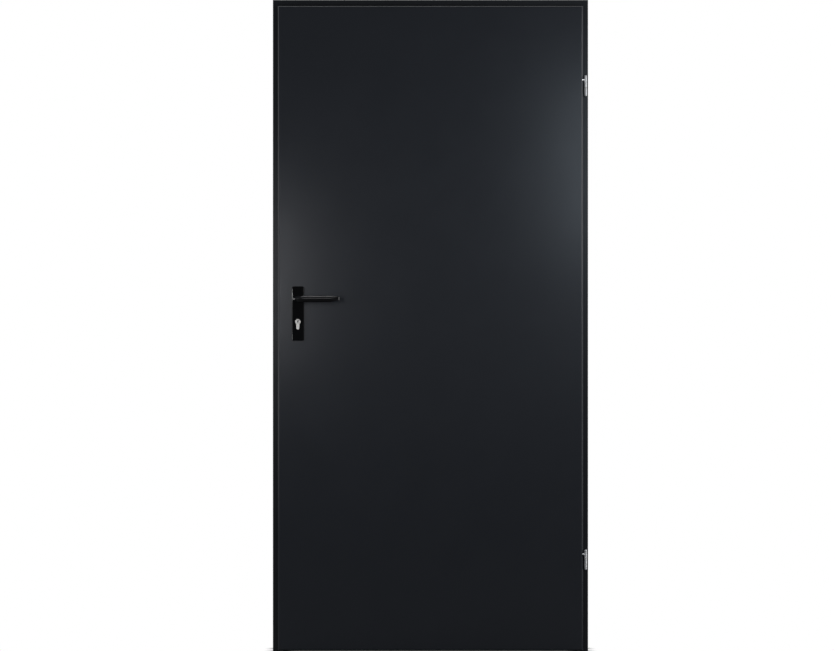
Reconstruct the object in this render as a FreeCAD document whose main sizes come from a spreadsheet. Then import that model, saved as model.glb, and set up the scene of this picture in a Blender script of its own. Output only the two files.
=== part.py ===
import FreeCAD, Part
from enum import IntEnum
import os
import Sketcher

# Steel utility door: a rebated double-skin leaf in a folded sheet frame.
# Millimetres, +Z up, looking along +Y at the outside face.
# The origin is on the wall face of the hinge jamb, at floor level.

SIZES = {
    # Frame, seen from the front
    "frame_width": 1000,
    "frame_height": 2067,
    "frame_depth": 80,
    "frame_sheet": 1.5,
    "frame_bend": 1,
    "flange_width": 23.5,
    "stop_width": 26.5,
    "wall_lip": 24,
    # Groove in the stop and the seal pressed into it
    "groove_inset": 8.5,
    "groove_width": 6,
    "groove_depth": 7,
    "seal_head": 11,
    "seal_round": 3.5,
    "seal_fit": 0.3,
    "seal_clear": 0.5,
    # Leaf and the gaps round it
    "leaf_thickness": 45,
    "lip_thickness": 15,
    "lip_overlap": 14,
    "leaf_skin": 1,
    "leaf_round": 6,
    "back_fold": 12,
    "skin_fit": 0.1,
    "side_gap": 7.5,
    "top_gap": 12.5,
    "floor_gap": 5,
    "lip_gap": 5,
    "stop_gap": 5,
    # Fixing holes through the reveal of each jamb
    "fixing_hole": 11,
    "hinge_fixing_foot": 200,
    "hinge_fixing_drop": 227,
    "hinge_fixing_inner": 546,
    "lock_fixing_foot": 250,
    "lock_fixing_drop": 317,
    "lock_fixing_inner": 500,
    # Hinges
    "hinge_inset": 9,
    "hinge_stand": 7.5,
    "barrel_across": 10,
    "barrel_wall": 2,
    "barrel_cap": 4,
    "pin_across": 5,
    "pin_play": 0.1,
    "ring_across": 11,
    "ring_height": 1.5,
    "ring_play": 0.25,
    "upper_hinge_drop": 307.5,
    "upper_frame_knuckle": 25.5,
    "upper_leaf_knuckle": 39,
    "lower_hinge_rise": 259.5,
    "lower_frame_knuckle": 38,
    "lower_leaf_knuckle": 25,
    "leaf_shank": 6,
    "leaf_shank_drop": 15,
    "leaf_shank_reach": 18,
    "leaf_notch": 3,
    "leaf_notch_height": 16,
    "block_height": 50,
    "frame_shank": 6,
    "frame_shank_rise": 12,
    "backing_width": 15,
    "backing_height": 44,
    "backing_sheet": 4,
    "shank_fit": 0.2,
    # Mortise lock in the leaf edge
    "backset": 50,
    "lever_height": 1117.5,
    "lever_to_cylinder": 72,
    "lock_from_back": 13,
    "forend_width": 20,
    "forend_height": 235,
    "forend_sheet": 3,
    "forend_above": 75,
    "case_thickness": 15,
    "case_depth": 82,
    "case_height": 165,
    "case_above": 42,
    "lock_fit": 0.2,
    "latch_rise": 8,
    "latch_height": 20,
    "latch_bevel": 7,
    "bolt_drop": 45,
    "bolt_height": 32,
    "bolt_width": 12,
    "bolt_reach": 24,
    "strike_room": 1.5,
    "strike_depth": 14,
    "strike_wall": 1.2,
    "strike_edge": 6,
    # Profile cylinder
    "cylinder_head": 17,
    "cylinder_stem": 10,
    "cylinder_height": 33,
    "cylinder_proud": 2.5,
    "cylinder_fit": 0.4,
    "plug_across": 12.5,
    "plug_depth": 22,
    "plug_fit": 0.1,
    "key_width": 2.2,
    "key_height": 8.5,
    "key_depth": 14,
    # Handle plates and levers
    "plate_width": 38,
    "plate_above": 40,
    "plate_below": 132,
    "plate_thickness": 8,
    "plate_edge": 2,
    "bearing_across": 20,
    "bearing_fit": 0.3,
    "bearing_depth": 5,
    "collar_length": 3,
    "spindle_across": 9,
    "spindle_fit": 0.1,
    "spindle_seat": 18,
    "spindle_room": 14,
    "grip_height": 21.5,
    "grip_depth": 22,
    "grip_bevel": 9.5,
    "grip_slope": 8,
    "grip_back_bevel": 5,
    "elbow_inside": 8,
    "neck_length": 26,
    "lever_length": 133,
    "tip_length": 30,
    "tip_return": 9,
    "tip_rise": 6,
}

PLACES = {
    # Depth, along Y
    "flange_y": "-size.wall_lip / 2",
    "lip_back_y": "flange_y - size.lip_gap",
    "leaf_front_y": "lip_back_y - size.lip_thickness",
    "leaf_back_y": "leaf_front_y + size.leaf_thickness",
    "stop_y": "leaf_back_y + size.stop_gap",
    "rebate_depth": "stop_y - flange_y",
    "frame_back_y": "flange_y + size.frame_depth",
    "lock_y": "leaf_back_y - size.lock_from_back",
    "fixing_y": "(stop_y + frame_back_y) / 2",
    "hinge_y": "lip_back_y - size.hinge_stand",
    # Width, along X, with the frame running from 0 to the left
    "reveal_in": "size.flange_width + size.stop_width",
    "body_right": "-size.flange_width - size.side_gap",
    "body_left": "-size.frame_width + size.flange_width + size.side_gap",
    "lip_right": "body_right + size.lip_overlap",
    "lip_left": "body_left - size.lip_overlap",
    "notch_x": "lip_right - size.leaf_notch",
    "hinge_x": "-size.hinge_inset",
    "lever_x": "body_left + size.backset",
    "strike_x": "-size.frame_width + size.flange_width",
    # Height, along Z
    "body_top": "size.frame_height - size.flange_width - size.top_gap",
    "lip_top": "body_top + size.lip_overlap",
    "cylinder_z": "size.lever_height - size.lever_to_cylinder",
    "latch_z": "size.lever_height + size.latch_rise",
    "bolt_z": "size.lever_height - size.bolt_drop",
    "forend_top": "size.lever_height + size.forend_above",
    "forend_foot": "forend_top - size.forend_height",
    "upper_hinge_foot": "size.frame_height - size.upper_hinge_drop",
    "lower_hinge_foot": "size.lower_hinge_rise",
    "hinge_fixing_top": "size.frame_height - size.hinge_fixing_drop",
    "lock_fixing_top": "size.frame_height - size.lock_fixing_drop",
    # Seal, from its groove
    "groove_in": "size.flange_width + size.groove_inset",
    "groove_out": "groove_in + size.groove_width",
}

# Coordinates of a solid that each sketch plane keeps, and the axis it leaves out
PLANE_AXES = {"XY_Plane": (0, 1, 2), "XZ_Plane": (0, 2, 1), "YZ_Plane": (1, 2, 0)}
NEAR = 1e-3


class Spot(IntEnum):
    """Points of a sketch's geometry, as constraints number them."""

    START = 1
    END = 2
    CENTRE = 3


doc = FreeCAD.newDocument("steel_utility_door")
pieces = []


def fill_sheet(name, rows, lead):
    """Spreadsheet with one named cell a row."""
    sheet = doc.addObject("Spreadsheet::Sheet", name)
    for row, (alias, content) in enumerate(rows.items(), 1):
        sheet.set(f"A{row}", alias)
        sheet.set(f"B{row}", lead + str(content))
        sheet.setAlias(f"B{row}", alias)
    doc.recompute()
    return sheet


size_sheet = fill_sheet("size", SIZES, "")
place_sheet = fill_sheet("place", PLACES, "=")


def value(text):
    """Number that an expression gives with the sheets as they stand."""
    return float(size_sheet.evalExpression(text))


def new_body(label):
    """Empty body that is written out under its label."""
    body = doc.addObject("PartDesign::Body", label)
    body.Label = label
    pieces.append(body)
    return body


def put(piece, x="0", y="0", z="0"):
    """Bind where a piece stands to the sheets."""
    for axis, text in zip("xyz", (x, y, z)):
        piece.setExpression(f"Placement.Base.{axis}", text)


def new_sketch(body, role, along="0", shift="0"):
    """Empty sketch parallel to one of the body's planes, at a place along the axis it leaves out."""
    sketch = body.newObject("Sketcher::SketchObject", body.Label + "_sketch")
    plane = next(item for item in body.Origin.OriginFeatures if item.Role == role)
    sketch.AttachmentSupport = [(plane, "")]
    sketch.MapMode = "FlatFace"
    # The normal of the upright front plane points to -Y
    lift = f"-({along})" if role == "XZ_Plane" else along
    sketch.setExpression("AttachmentOffset.Base.z", lift)
    sketch.setExpression("AttachmentOffset.Base.x", shift)
    return sketch


def pin_point(sketch, geometry, end, point):
    """Tie a point of the sketch to two expressions."""
    for kind, text in zip(("DistanceX", "DistanceY"), point):
        rule = Sketcher.Constraint(kind, -1, Spot.START, geometry, end, value(text))
        sketch.setExpression(f"Constraints[{sketch.addConstraint(rule)}]", text)


def draw_polygon(sketch, points):
    """Closed outline through points that are pairs of expressions."""
    first = sketch.GeometryCount
    spots = [FreeCAD.Vector(value(x), value(y), 0) for x, y in points]
    for here, after in zip(spots, spots[1:] + spots[:1]):
        sketch.addGeometry(Part.LineSegment(here, after))
    for number, point in enumerate(points):
        after = first + (number + 1) % len(points)
        sketch.addConstraint(Sketcher.Constraint("Coincident", first + number, Spot.END, after, Spot.START))
        pin_point(sketch, first + number, Spot.START, point)


def draw_box(sketch, left, right, low, high):
    """Upright rectangle between four expressions."""
    draw_polygon(sketch, [(left, low), (right, low), (right, high), (left, high)])


def draw_circle(sketch, centre, across):
    """Circle with its centre and diameter tied to expressions."""
    spot = FreeCAD.Vector(value(centre[0]), value(centre[1]), 0)
    index = sketch.addGeometry(Part.Circle(spot, FreeCAD.Vector(0, 0, 1), value(across) / 2))
    pin_point(sketch, index, Spot.CENTRE, centre)
    rule = sketch.addConstraint(Sketcher.Constraint("Diameter", index, value(across)))
    sketch.setExpression(f"Constraints[{rule}]", across)


def add_feature(body, kind, sketch, length, reverse=False):
    """Pad or Pocket of a sketch, with its length bound to the sheets."""
    feature = body.newObject("PartDesign::" + kind, f"{body.Label}_{kind.lower()}")
    feature.Profile = sketch
    feature.setExpression("Length", length)
    feature.Reversed = reverse
    return feature


def cut_through(body, sketch, length):
    """Pocket that runs half its length to each side of the sketch."""
    add_feature(body, "Pocket", sketch, length).SideType = "Symmetric"


def dress_edges(body, kind, amount, wanted):
    """Fillet or chamfer the edges of the body's last feature that a test picks."""
    doc.recompute()
    base = body.Tip
    names = [f"Edge{number}" for number, edge in enumerate(base.Shape.Edges, 1) if wanted(edge)]
    feature = body.newObject("PartDesign::" + kind, f"{body.Label}_{kind.lower()}")
    feature.Base = (base, names)
    feature.setExpression("Radius" if kind == "Fillet" else "Size", amount)


def runs_along(edge, axis):
    """Whether an edge is straight and parallel to axis 0, 1 or 2."""
    if not isinstance(edge.Curve, Part.Line):
        return False
    return abs(abs(edge.Curve.Direction[axis]) - 1) < NEAR


def lies_at(edge, axis, place):
    """Whether the whole edge keeps one coordinate."""
    return all(abs(vertex.Point[axis] - place) < NEAR for vertex in edge.Vertexes)


def is_corner(edge, role, spots):
    """Whether an edge runs square to the sketch plane through one of its spots."""
    across, up, along = PLANE_AXES[role]
    if not runs_along(edge, along):
        return False
    point = edge.Vertexes[0].Point
    return any(abs(point[across] - x) < NEAR and abs(point[up] - y) < NEAR for x, y in spots)


def fold_line(path, sheet):
    """Hidden side of a folded sheet and its bends, from the seen side of its section.

    The metal lies to the left of the path. Each bend is a pair of its inside and outside points.
    """
    spots = [FreeCAD.Vector(value(u), value(v), 0) for u, v in path]
    steps = [(after - here).normalize() for here, after in zip(spots, spots[1:])]
    hidden = []
    bends = []
    for number, (u, v) in enumerate(path):
        beside = steps[max(number - 1, 0):number + 1]
        lean_u = round(-sum(step.y for step in beside))
        lean_v = round(sum(step.x for step in beside))
        hidden.append((f"{u} + {lean_u} * {sheet}", f"{v} + {lean_v} * {sheet}"))
        if len(beside) == 2:
            turns_left = beside[0].cross(beside[1]).z > 0
            bends.append((hidden[-1], path[number]) if turns_left else (path[number], hidden[-1]))
    return hidden, bends


def folded_bar(label, role, along, length, where):
    """Bar of the frame section, with its main folds rounded and the seal's groove crisp."""
    stop = "place.rebate_depth"
    groove_floor = "place.rebate_depth + size.groove_depth"
    groove = [
        ("place.groove_in", stop),
        ("place.groove_in", groove_floor),
        ("place.groove_out", groove_floor),
        ("place.groove_out", stop),
    ]
    groove_corners = set(groove)
    path = [
        ("0", "size.wall_lip"),
        ("0", "0"),
        ("size.flange_width", "0"),
        ("size.flange_width", stop),
        *groove,
        ("place.reveal_in", stop),
        ("place.reveal_in", "size.frame_depth"),
        ("0", "size.frame_depth"),
        ("0", "size.frame_depth - size.wall_lip"),
    ]
    hidden, bends = fold_line(path, "size.frame_sheet")
    body = new_body(label)
    sketch = new_sketch(body, role, along)
    draw_polygon(sketch, [where(u, v) for u, v in path + hidden[::-1]])
    add_feature(body, "Pad", sketch, length)
    main_folds = [pair for pair in bends if not groove_corners.intersection(pair)]
    for side, radius in enumerate(("size.frame_bend", "size.frame_bend + size.frame_sheet")):
        marks = [where(*pair[side]) for pair in main_folds]
        spots = [(value(x), value(y)) for x, y in marks]
        dress_edges(body, "Fillet", radius, lambda edge: is_corner(edge, role, spots))
    return body


def seal_bar(label, role, along, length, where):
    """Rubber seal: a foot in the groove and a rounded head against the leaf."""
    middle = "(place.groove_in + place.groove_out) / 2"
    foot = "(size.groove_width / 2 - size.seal_fit)"
    head = "size.seal_head / 2"
    seat = "place.rebate_depth"
    floor = "(place.rebate_depth + size.groove_depth - size.seal_fit)"
    crown = "(place.rebate_depth - size.stop_gap + size.seal_clear)"
    half = [(foot, floor), (foot, seat), (head, seat), (head, crown)]
    right = [(f"{middle} + {across}", depth) for across, depth in half]
    left = [(f"{middle} - {across}", depth) for across, depth in half]
    body = new_body(label)
    sketch = new_sketch(body, role, along)
    draw_polygon(sketch, [where(u, v) for u, v in right + left[::-1]])
    add_feature(body, "Pad", sketch, length)
    spots = [(value(x), value(y)) for x, y in (where(*right[-1]), where(*left[-1]))]
    dress_edges(body, "Fillet", "size.seal_round", lambda edge: is_corner(edge, role, spots))
    return body


def on_hinge_jamb(u, v):
    """Place on the floor plan of a point u in from the wall and v behind the flange."""
    return f"-({u})", f"place.flange_y + {v}"


def on_lock_jamb(u, v):
    """The same point on the jamb at the lock side."""
    return f"-size.frame_width + {u}", f"place.flange_y + {v}"


def on_head(u, v):
    """The same point on the head, in the plane across the width."""
    return f"place.flange_y + {v}", f"size.frame_height - ({u})"


def mitre(body, at_hinges, keeps_top):
    """Cut one top corner at 45 degrees, keeping the head above the cut or the jamb below it."""
    outer = "0" if at_hinges else "-size.frame_width"
    sign = "-" if at_hinges else "+"
    inner = f"{outer} {sign} 2 * place.reveal_in"
    top = "size.frame_height"
    low = "size.frame_height - 2 * place.reveal_in"
    third = (outer, low) if keeps_top else (inner, top)
    sketch = new_sketch(body, "XZ_Plane")
    draw_polygon(sketch, [(outer, top), (inner, low), third])
    cut_through(body, sketch, "4 * size.frame_depth")


def drill_fixings(body, side, reveal_x):
    """Two pairs of fixing holes through the reveal of a jamb."""
    foot = f"size.{side}_fixing_foot"
    top = f"place.{side}_fixing_top"
    inner = [f"({foot} + {top} {sign} size.{side}_fixing_inner) / 2" for sign in "-+"]
    sketch = new_sketch(body, "YZ_Plane", reveal_x)
    for height in (foot, *inner, top):
        draw_circle(sketch, ("place.fixing_y", height), "size.fixing_hole")
    cut_through(body, sketch, "4 * size.frame_sheet")


def lock_windows(body, x, room, depth):
    """Openings for the latch and the dead bolt, square to the leaf edge."""
    half = f"(size.bolt_width / 2 + {room})"
    sketch = new_sketch(body, "YZ_Plane", x)
    for middle, height in (("place.latch_z", "size.latch_height"), ("place.bolt_z", "size.bolt_height")):
        draw_box(
            sketch,
            f"place.lock_y - {half}",
            f"place.lock_y + {half}",
            f"{middle} - {height} / 2 - {room}",
            f"{middle} + {height} / 2 + {room}",
        )
    cut_through(body, sketch, depth)


def make_frame():
    """Two jambs and a head, mitred at the corners."""
    hinge_jamb = folded_bar("frame_hinge_jamb", "XY_Plane", "0", "size.frame_height", on_hinge_jamb)
    mitre(hinge_jamb, True, False)
    drill_fixings(hinge_jamb, "hinge", "-place.reveal_in")
    holes = new_sketch(hinge_jamb, "XZ_Plane", "place.flange_y")
    for hinge in ("upper", "lower"):
        height = f"place.{hinge}_hinge_foot + size.frame_shank_rise"
        draw_circle(holes, ("place.hinge_x", height), "size.frame_shank + 2 * size.shank_fit")
    cut_through(hinge_jamb, holes, "4 * size.frame_sheet")

    lock_jamb = folded_bar("frame_lock_jamb", "XY_Plane", "0", "size.frame_height", on_lock_jamb)
    mitre(lock_jamb, False, False)
    drill_fixings(lock_jamb, "lock", "-size.frame_width + place.reveal_in")
    lock_windows(lock_jamb, "place.strike_x", "size.strike_room", "4 * size.frame_sheet")

    head = folded_bar("frame_head", "YZ_Plane", "-size.frame_width", "size.frame_width", on_head)
    for at_hinges in (True, False):
        mitre(head, at_hinges, True)


def make_seals():
    """Seal on three sides of the stop, mitred with the frame."""
    rise = "size.frame_height - size.floor_gap"
    mitre(seal_bar("seal_hinge_side", "XY_Plane", "size.floor_gap", rise, on_hinge_jamb), True, False)
    mitre(seal_bar("seal_lock_side", "XY_Plane", "size.floor_gap", rise, on_lock_jamb), False, False)
    head = seal_bar("seal_head", "YZ_Plane", "-size.frame_width", "size.frame_width", on_head)
    for at_hinges in (True, False):
        mitre(head, at_hinges, True)


def make_strike_box():
    """Moulded box behind the bolt openings of the lock jamb, open to the leaf."""
    half = "(size.bolt_width / 2 + size.strike_room)"
    low = "place.bolt_z - size.bolt_height / 2 - size.strike_edge"
    high = "place.latch_z + size.latch_height / 2 + size.strike_edge"
    mouth = "place.strike_x - size.frame_sheet"
    wall = "size.strike_wall"
    box = new_body("strike_box")
    outside = new_sketch(box, "YZ_Plane", mouth)
    draw_box(outside, f"place.lock_y - {half} - {wall}", f"place.lock_y + {half} + {wall}", low, high)
    add_feature(box, "Pad", outside, "size.strike_depth", True)
    inside = new_sketch(box, "YZ_Plane", mouth)
    draw_box(
        inside,
        f"place.lock_y - {half}",
        f"place.lock_y + {half}",
        f"{low} + {wall}",
        f"{high} - {wall}",
    )
    add_feature(box, "Pocket", inside, f"size.strike_depth - {wall}")


def draw_cylinder_hole(body, plane_y, room, feature, length, reverse=False):
    """Keyhole outline of a profile cylinder: round head, stem and round foot, as features of one depth."""
    half = f"(size.cylinder_stem / 2 + {room})"
    foot = "place.cylinder_z + size.cylinder_head / 2 - size.cylinder_height + size.cylinder_stem / 2"
    head = new_sketch(body, "XZ_Plane", plane_y)
    draw_circle(head, ("place.lever_x", "place.cylinder_z"), f"size.cylinder_head + 2 * {room}")
    stem = new_sketch(body, "XZ_Plane", plane_y)
    draw_box(stem, f"place.lever_x - {half}", f"place.lever_x + {half}", foot, "place.cylinder_z")
    end = new_sketch(body, "XZ_Plane", plane_y)
    draw_circle(end, ("place.lever_x", foot), f"2 * {half}")
    for sketch in (head, stem, end):
        made = add_feature(body, feature, sketch, length, reverse)
        if feature == "Pocket":
            made.SideType = "Symmetric"


def drill_lever(body, plane_y, across, length):
    """Round hole for the spindle or the lever's collar."""
    sketch = new_sketch(body, "XZ_Plane", plane_y)
    draw_circle(sketch, ("place.lever_x", "size.lever_height"), across)
    cut_through(body, sketch, length)


def cut_forend_window(body, x):
    """Opening in the leaf edge that the forend fills."""
    half = "(size.forend_width / 2 + size.lock_fit)"
    sketch = new_sketch(body, "YZ_Plane", x)
    draw_box(
        sketch,
        f"place.lock_y - {half}",
        f"place.lock_y + {half}",
        "place.forend_foot - size.lock_fit",
        "place.forend_top + size.lock_fit",
    )
    cut_through(body, sketch, "4 * size.forend_sheet")


def shank_height(hinge):
    """Height of the shank that holds a hinge in the leaf edge."""
    parts = f"place.{hinge}_hinge_foot + size.{hinge}_frame_knuckle + size.ring_height + 2 * size.ring_play"
    return f"{parts} + size.{hinge}_leaf_knuckle - size.leaf_shank_drop"


def make_front_skin():
    """Front sheet: the face, the lip that laps the frame and the side walls, open at the back."""
    skin = "size.leaf_skin"
    lip_box = ("place.lip_left", "place.lip_right", "size.floor_gap", "place.lip_top")
    body_box = ("place.body_left", "place.body_right", "size.floor_gap", "place.body_top")

    def inset(box):
        left, right, low, high = box
        return f"{left} + {skin}", f"{right} - {skin}", f"{low} + {skin}", f"{high} - {skin}"

    body = new_body("leaf_front_skin")
    lip = new_sketch(body, "XZ_Plane", "place.leaf_front_y")
    draw_box(lip, *lip_box)
    add_feature(body, "Pad", lip, "size.lip_thickness", True)
    walls = new_sketch(body, "XZ_Plane", "place.lip_back_y")
    draw_box(walls, *body_box)
    add_feature(body, "Pad", walls, "size.leaf_thickness - size.lip_thickness", True)

    hollow = new_sketch(body, "XZ_Plane", f"place.leaf_front_y + {skin}")
    draw_box(hollow, *inset(body_box))
    add_feature(body, "Pocket", hollow, "size.leaf_thickness")
    fold = new_sketch(body, "XZ_Plane", f"place.leaf_front_y + {skin}")
    draw_box(fold, *inset(lip_box))
    add_feature(body, "Pocket", fold, f"size.lip_thickness - 2 * {skin}")

    for depth, radius in (("0", "size.leaf_round"), (skin, f"size.leaf_round - {skin}")):
        plane = value(f"place.leaf_front_y + {depth}")
        dress_edges(body, "Fillet", radius, lambda edge: lies_at(edge, 1, plane))

    drill_lever(body, "place.leaf_front_y", "size.spindle_room", "4 * size.leaf_skin")
    draw_cylinder_hole(body, "place.leaf_front_y", "size.cylinder_fit", "Pocket", "4 * size.leaf_skin")
    cut_forend_window(body, "place.body_left")
    notches = new_sketch(body, "XZ_Plane", "place.leaf_front_y")
    for hinge in ("upper", "lower"):
        middle = shank_height(hinge)
        half = "size.leaf_notch_height / 2"
        past = "place.lip_right + size.leaf_notch"
        draw_box(notches, "place.notch_x", past, f"{middle} - {half}", f"{middle} + {half}")
    cut_through(body, notches, "2 * (size.lip_thickness - size.leaf_notch)")


def make_back_skin():
    """Back sheet: a shallow tray that closes the leaf between the side walls."""
    skin = "size.leaf_skin"
    edge = f"{skin} + size.skin_fit"
    body = new_body("leaf_back_skin")
    for feature, margin, start in (("Pad", edge, "0"), ("Pocket", f"{edge} + {skin}", skin)):
        sketch = new_sketch(body, "XZ_Plane", f"place.leaf_back_y - {start}")
        draw_box(
            sketch,
            f"place.body_left + {margin}",
            f"place.body_right - ({margin})",
            f"size.floor_gap + {margin}",
            f"place.body_top - ({margin})",
        )
        add_feature(body, feature, sketch, "size.back_fold", feature == "Pocket")
    back = value("place.leaf_back_y")
    dress_edges(body, "Fillet", skin, lambda edge: lies_at(edge, 1, back))
    drill_lever(body, "place.leaf_back_y", "size.spindle_room", "4 * size.leaf_skin")
    draw_cylinder_hole(body, "place.leaf_back_y", "size.cylinder_fit", "Pocket", "4 * size.leaf_skin")
    cut_forend_window(body, "place.body_left")


def make_lock():
    """Mortise lock with its bolts drawn back: forend, case, latch and dead bolt."""
    forend = new_body("lock_forend")
    half = "size.forend_width / 2"
    face = new_sketch(forend, "YZ_Plane", "place.body_left")
    draw_box(
        face,
        f"place.lock_y - {half}",
        f"place.lock_y + {half}",
        "place.forend_foot",
        "place.forend_top",
    )
    add_feature(forend, "Pad", face, "size.forend_sheet")
    lock_windows(forend, "place.body_left", "size.lock_fit", "4 * size.forend_sheet")

    case = new_body("lock_case")
    case_top = "size.lever_height + size.case_above"
    side = new_sketch(case, "YZ_Plane", "place.body_left + size.forend_sheet")
    half = "size.case_thickness / 2"
    draw_box(
        side,
        f"place.lock_y - {half}",
        f"place.lock_y + {half}",
        f"{case_top} - size.case_height",
        case_top,
    )
    add_feature(case, "Pad", side, "size.case_depth")
    lock_windows(case, "place.body_left + size.forend_sheet", "size.lock_fit", "2 * size.bolt_reach")
    drill_lever(case, "place.lock_y", "size.spindle_room", "2 * size.case_thickness")
    draw_cylinder_hole(case, "place.lock_y", "size.cylinder_fit", "Pocket", "2 * size.case_thickness")

    for label, middle, height in (
        ("latch_bolt", "place.latch_z", "size.latch_height"),
        ("dead_bolt", "place.bolt_z", "size.bolt_height"),
    ):
        bolt = new_body(label)
        half = "size.bolt_width / 2"
        end = new_sketch(bolt, "YZ_Plane", "place.body_left")
        draw_box(
            end,
            f"place.lock_y - {half}",
            f"place.lock_y + {half}",
            f"{middle} - {height} / 2",
            f"{middle} + {height} / 2",
        )
        add_feature(bolt, "Pad", end, "size.bolt_reach")
        if label == "latch_bolt":
            nose = new_sketch(bolt, "XY_Plane", middle)
            front = f"place.lock_y - {half}"
            draw_polygon(nose, [
                ("place.body_left", front),
                ("place.body_left + size.latch_bevel", front),
                ("place.body_left", f"{front} + size.latch_bevel"),
            ])
            cut_through(bolt, nose, f"2 * {height}")


def make_cylinder():
    """Profile cylinder right through the leaf, bored for a turning plug at each end."""
    front = "(place.leaf_front_y - size.plate_thickness - size.cylinder_proud)"
    back = "(place.leaf_back_y + size.plate_thickness + size.cylinder_proud)"
    body = new_body("lock_cylinder")
    draw_cylinder_hole(body, back, "0", "Pad", f"{back} - {front}")
    bore = new_sketch(body, "XZ_Plane", back)
    draw_circle(bore, ("place.lever_x", "place.cylinder_z"), "size.plug_across + 2 * size.plug_fit")
    cut_through(body, bore, f"4 * ({back} - {front})")
    for label, end, reverse in (("front_cylinder_plug", front, True), ("back_cylinder_plug", back, False)):
        plug = new_body(label)
        disc = new_sketch(plug, "XZ_Plane", end)
        draw_circle(disc, ("place.lever_x", "place.cylinder_z"), "size.plug_across")
        add_feature(plug, "Pad", disc, "size.plug_depth", reverse)
        slot = new_sketch(plug, "XZ_Plane", end)
        half = "size.key_width / 2"
        draw_box(
            slot,
            f"place.lever_x - {half}",
            f"place.lever_x + {half}",
            "place.cylinder_z - size.key_height / 2",
            "place.cylinder_z + size.key_height / 2",
        )
        add_feature(plug, "Pocket", slot, "size.key_depth", not reverse)


def make_plates():
    """Long handle plate on each face of the leaf, pierced for the lever and the cylinder."""
    half = "size.plate_width / 2"
    for side, outward in (("front", -1), ("back", 1)):
        seat = f"place.leaf_{side}_y"
        plate = new_body(f"{side}_handle_plate")
        outline = new_sketch(plate, "XZ_Plane", seat)
        draw_box(
            outline,
            f"place.lever_x - {half}",
            f"place.lever_x + {half}",
            "size.lever_height - size.plate_below",
            "size.lever_height + size.plate_above",
        )
        add_feature(plate, "Pad", outline, "size.plate_thickness", outward > 0)
        face = value(f"{seat} + {outward} * size.plate_thickness")
        dress_edges(plate, "Chamfer", "size.plate_edge", lambda edge: lies_at(edge, 1, face))
        drill_lever(plate, seat, "size.bearing_across + 2 * size.bearing_fit", "4 * size.plate_thickness")
        draw_cylinder_hole(plate, seat, "size.cylinder_fit", "Pocket", "4 * size.plate_thickness")


def grip_section(outer):
    """Bevelled section of the grip: depth from its outer face inwards, then height."""
    top = "(size.grip_height / 2)"
    back = f"({outer} + size.grip_depth)"
    half = [
        (outer, f"{top} - size.grip_bevel"),
        (f"{outer} + size.grip_slope", top),
        (f"{back} - size.grip_back_bevel", top),
        (back, f"{top} - size.grip_back_bevel"),
    ]
    return half + [(x, f"-({y})") for x, y in half[::-1]]


def shape_tip(body, outer, low):
    """Slant the end of the grip: its face turns in towards the door, and its low edge rises."""
    start = "size.lever_length - size.tip_length"
    end = "size.lever_length"
    face = new_sketch(body, "XY_Plane")
    draw_polygon(face, [(start, outer), (end, outer), (end, f"{outer} + size.tip_return")])
    cut_through(body, face, "2 * size.grip_height")
    edge = f"{low}size.grip_height / 2"
    inside = f"{low}(size.grip_height / 2 - size.tip_rise)"
    under = new_sketch(body, "XZ_Plane", outer)
    draw_polygon(under, [(start, edge), (end, edge), (end, inside)])
    cut_through(body, under, "4 * size.grip_depth")


def make_lever(label, low):
    """Lever drawn about its own axis: collar, neck, elbow, straight grip and a tip that turns in.

    The sign says which way is down, because one lever is turned over for the back.
    """
    body = new_body(label)
    collar = new_sketch(body, "XZ_Plane", "size.bearing_depth")
    draw_circle(collar, ("0", "0"), "size.bearing_across")
    add_feature(body, "Pad", collar, "size.bearing_depth + size.collar_length")
    neck = new_sketch(body, "XZ_Plane", "-size.collar_length")
    draw_polygon(neck, grip_section("-size.grip_depth / 2"))
    add_feature(body, "Pad", neck, "size.neck_length - size.collar_length")

    centre = "size.grip_depth / 2 + size.elbow_inside"
    bend = new_sketch(body, "XZ_Plane", "-size.neck_length", centre)
    draw_polygon(bend, grip_section("-(size.grip_depth + size.elbow_inside)"))
    elbow = body.newObject("PartDesign::Revolution", label + "_elbow")
    elbow.Profile = bend
    elbow.ReferenceAxis = (bend, ["V_Axis"])
    elbow.Angle = 90

    outer = "-(size.neck_length + size.elbow_inside + size.grip_depth)"
    grip = new_sketch(body, "YZ_Plane", centre)
    draw_polygon(grip, grip_section(outer))
    add_feature(body, "Pad", grip, f"size.lever_length - ({centre})")
    shape_tip(body, outer, low)

    socket = new_sketch(body, "XZ_Plane", "size.bearing_depth")
    half = "(size.spindle_across / 2 + size.spindle_fit)"
    draw_box(socket, f"-{half}", half, f"-{half}", half)
    add_feature(body, "Pocket", socket, "size.spindle_seat", True)
    return body


def make_handles():
    """Front and back lever on one square spindle."""
    front_face = "place.leaf_front_y - size.plate_thickness"
    back_face = "place.leaf_back_y + size.plate_thickness"
    put(make_lever("front_lever", "-"), "place.lever_x", front_face, "size.lever_height")
    back = make_lever("back_lever", "+")
    back.Placement.Rotation = FreeCAD.Rotation(FreeCAD.Vector(1, 0, 0), 180)
    put(back, "place.lever_x", back_face, "size.lever_height")

    bury = "(size.spindle_seat - size.bearing_depth - size.spindle_fit)"
    spindle = doc.addObject("Part::Box", "spindle")
    spindle.Label = "spindle"
    pieces.append(spindle)
    spindle.setExpression("Length", "size.spindle_across")
    spindle.setExpression("Height", "size.spindle_across")
    spindle.setExpression("Width", f"{back_face} - ({front_face}) + 2 * {bury}")
    half = "size.spindle_across / 2"
    put(spindle, f"place.lever_x - {half}", f"{front_face} - {bury}", f"size.lever_height - {half}")


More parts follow.
